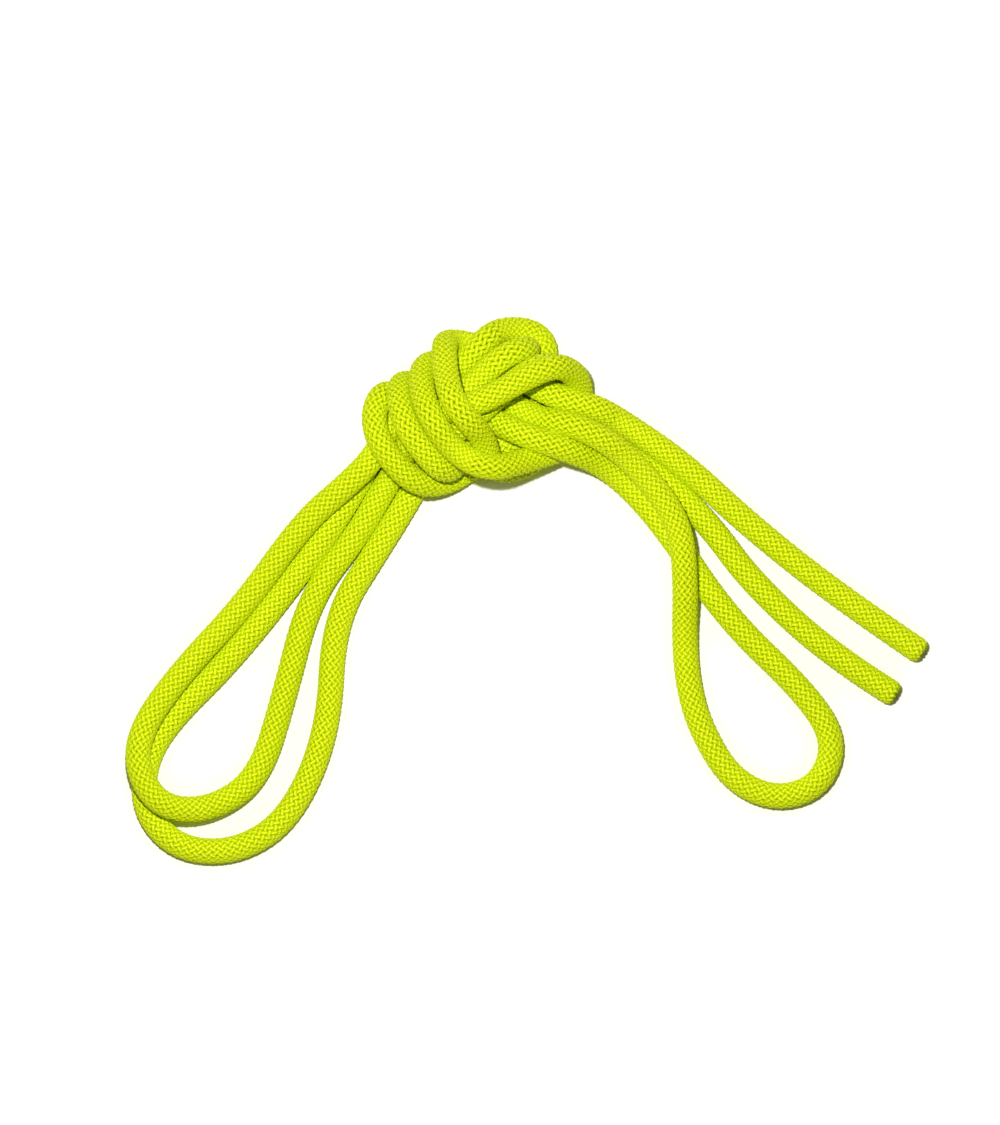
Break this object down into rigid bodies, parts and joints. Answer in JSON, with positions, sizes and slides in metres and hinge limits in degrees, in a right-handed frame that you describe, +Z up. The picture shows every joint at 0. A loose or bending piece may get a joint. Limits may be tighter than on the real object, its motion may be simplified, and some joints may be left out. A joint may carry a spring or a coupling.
{
  "type": "climbing rope",
  "caption": "Kernmantle climbing rope, bright yellow-green, folded in half twice and tied in one four-strand overhand knot, with melted ends, lying flat",
  "frame": {"origin": "on the surface the rope lies on, at the middle of the rope's own length and width as seen from above", "axes": "+Z up from the surface; +X along the bundle, toward the two cut ends and the bight at the rope's middle; +Y toward the knot's rounded side"},
  "size_m": [0.3304, 0.2248, 0.0513],
  "materials": {
    "sheath_yarn": "neon yellow-green polyamide yarn in a one-over-one diagonal braid, satin",
    "core_yarn": "undyed white polyamide yarn, twisted, satin",
    "melted_end": "the same yarn melted solid at the cut, darkened by the heat"
  },
  "bodies": {
    "root": {"sheath": "sheath_yarn", "core": "core_yarn", "end_seal_1": "melted_end", "end_seal_2": "melted_end"}
  },
  "joints": []
}
